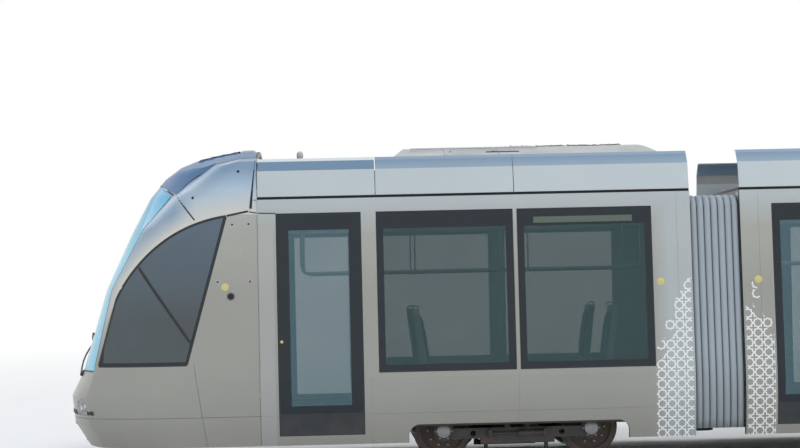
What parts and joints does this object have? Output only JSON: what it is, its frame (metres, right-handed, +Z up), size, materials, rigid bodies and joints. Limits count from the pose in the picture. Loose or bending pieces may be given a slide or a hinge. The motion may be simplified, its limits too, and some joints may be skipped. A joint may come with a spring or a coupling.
{
  "type": "articulated low-floor tram",
  "caption": "Low-floor articulated tram with a sloping cab at each end, flush glazing, plug doors, folded bellows between hinged sections and a folded pantograph.",
  "frame": {"origin": "centre of the vehicle at the level of the lowest wheel-flange tips, on the centre line", "axes": "+X along the track towards the leading cab, +Y to its left, +Z up; the rail top is at z = 0.025 m"},
  "size_m": [32.5, 2.65, 3.5559],
  "materials": {
    "silver_paint": "satin metallic silver",
    "dome_gloss": "glossy dark blue-grey",
    "screen_glass": "laminated, lightly tinted",
    "window_glass": "grey-green tint, dark printed border",
    "door_black": "gloss near-black",
    "underframe_grey": "matt",
    "bogie_iron": "painted, brake dust",
    "wheel_steel": "bright tread, dull web",
    "bellows_rubber": "coated fabric, satin",
    "interior_trim": "light grey",
    "roof_gear_grey": "satin",
    "pantograph_frame": "satin",
    "lamp_lens": "clear"
  },
  "bodies": {
    "front": {"front_floor": "underframe_grey", "front_walls": "silver_paint", "front_roof": "silver_paint", "front_glazing": "window_glass", "front_interior": "interior_trim", "front_doors": "door_black", "front_roof_gear": "roof_gear_grey", "front_nose": "silver_paint", "front_nose_cap": "dome_gloss", "front_cab_glass": "screen_glass", "front_lamps": "lamp_lens", "front_bogie": "bogie_iron"},
    "front_wheelset_1": {"front_wheelset_1": "wheel_steel"},
    "front_wheelset_2": {"front_wheelset_2": "wheel_steel"},
    "rear": {"rear_floor": "underframe_grey", "rear_walls": "silver_paint", "rear_roof": "silver_paint", "rear_glazing": "window_glass", "rear_interior": "interior_trim", "rear_doors": "door_black", "rear_roof_gear": "roof_gear_grey", "rear_nose": "silver_paint", "rear_nose_cap": "dome_gloss", "rear_cab_glass": "screen_glass", "rear_lamps": "lamp_lens", "rear_bogie": "bogie_iron"},
    "rear_wheelset_1": {"rear_wheelset_1": "wheel_steel"},
    "rear_wheelset_2": {"rear_wheelset_2": "wheel_steel"},
    "mid_front": {"mid_front_floor": "underframe_grey", "mid_front_walls": "silver_paint", "mid_front_roof": "silver_paint", "mid_front_glazing": "window_glass", "mid_front_interior": "interior_trim", "mid_front_doors": "door_black", "mid_front_roof_gear": "roof_gear_grey", "gangway_outer_front": "bellows_rubber"},
    "mid_rear": {"mid_rear_floor": "underframe_grey", "mid_rear_walls": "silver_paint", "mid_rear_roof": "silver_paint", "mid_rear_glazing": "window_glass", "mid_rear_interior": "interior_trim", "mid_rear_doors": "door_black", "mid_rear_roof_gear": "roof_gear_grey", "gangway_outer_rear": "bellows_rubber"},
    "centre": {"centre_floor": "underframe_grey", "centre_walls": "silver_paint", "centre_roof": "silver_paint", "centre_glazing": "window_glass", "centre_interior": "interior_trim", "centre_roof_gear": "roof_gear_grey", "centre_bogie": "bogie_iron", "gangway_inner_front": "bellows_rubber", "gangway_inner_rear": "bellows_rubber"},
    "centre_wheelset_1": {"centre_wheelset_1": "wheel_steel"},
    "centre_wheelset_2": {"centre_wheelset_2": "wheel_steel"},
    "pantograph_lower_arm": {"pantograph_lower_arm": "pantograph_frame"},
    "pantograph_upper_arm": {"pantograph_upper_arm": "pantograph_frame"},
    "pantograph_head": {"pantograph_head": "pantograph_frame"},
    "pantograph_thrust_rod": {"pantograph_thrust_rod": "pantograph_frame"}
  },
  "joints": [
    {"name": "inner_front_pivot", "type": "hinge", "parent": "centre", "child": "mid_front", "pos_m": [2, 0, 0.27], "axis": [0, 0, 1], "range_deg": [-16, 16], "deforming": ["gangway_inner_front"]},
    {"name": "inner_rear_pivot", "type": "hinge", "parent": "centre", "child": "mid_rear", "pos_m": [-2, 0, 0.27], "axis": [0, 0, 1], "range_deg": [-16, 16], "deforming": ["gangway_inner_rear"]},
    {"name": "outer_front_pivot", "type": "hinge", "parent": "mid_front", "child": "front", "pos_m": [9.185, 0, 0.27], "axis": [0, 0, 1], "range_deg": [-16, 16], "deforming": ["gangway_outer_front"]},
    {"name": "outer_rear_pivot", "type": "hinge", "parent": "mid_rear", "child": "rear", "pos_m": [-9.185, 0, 0.27], "axis": [0, 0, 1], "range_deg": [-16, 16], "deforming": ["gangway_outer_rear"]},
    {"name": "front_wheelset_1_spin", "type": "hinge", "parent": "front", "child": "front_wheelset_1", "pos_m": [12.1475, 0, 0.32], "axis": [0, 1, 0], "continuous": true},
    {"name": "front_wheelset_2_spin", "type": "hinge", "parent": "front", "child": "front_wheelset_2", "pos_m": [10.5475, 0, 0.32], "axis": [0, 1, 0], "continuous": true},
    {"name": "centre_wheelset_1_spin", "type": "hinge", "parent": "centre", "child": "centre_wheelset_1", "pos_m": [0.8, 0, 0.32], "axis": [0, 1, 0], "continuous": true},
    {"name": "centre_wheelset_2_spin", "type": "hinge", "parent": "centre", "child": "centre_wheelset_2", "pos_m": [-0.8, 0, 0.32], "axis": [0, 1, 0], "continuous": true},
    {"name": "rear_wheelset_1_spin", "type": "hinge", "parent": "rear", "child": "rear_wheelset_1", "pos_m": [-12.1475, 0, 0.32], "axis": [0, 1, 0], "continuous": true},
    {"name": "rear_wheelset_2_spin", "type": "hinge", "parent": "rear", "child": "rear_wheelset_2", "pos_m": [-10.5475, 0, 0.32], "axis": [0, 1, 0], "continuous": true},
    {"name": "pantograph_raise", "type": "hinge", "parent": "centre", "child": "pantograph_lower_arm", "pos_m": [0.56, 0, 3.185], "axis": [0, 1, 0], "range_deg": [0, 44]},
    {"name": "pantograph_knee", "type": "hinge", "parent": "pantograph_lower_arm", "child": "pantograph_upper_arm", "pos_m": [-0.63343, 0, 3.31043], "axis": [0, 1, 0], "range_deg": [-88, 0]},
    {"name": "pantograph_head_level", "type": "hinge", "parent": "pantograph_upper_arm", "child": "pantograph_head", "pos_m": [0.56, 0, 3.43587], "axis": [0, 1, 0], "range_deg": [0, 44]},
    {"name": "pantograph_rod_foot", "type": "hinge", "parent": "centre", "child": "pantograph_thrust_rod", "pos_m": [0.68, 0, 3.145], "axis": [0, 1, 0], "range_deg": [0, 44]}
  ],
  "couplings": [
    {"joint": "pantograph_knee", "follows": "pantograph_raise", "ratio": -2},
    {"joint": "pantograph_head_level", "follows": "pantograph_raise", "ratio": 1},
    {"joint": "pantograph_rod_foot", "follows": "pantograph_raise", "ratio": 1}
  ]
}
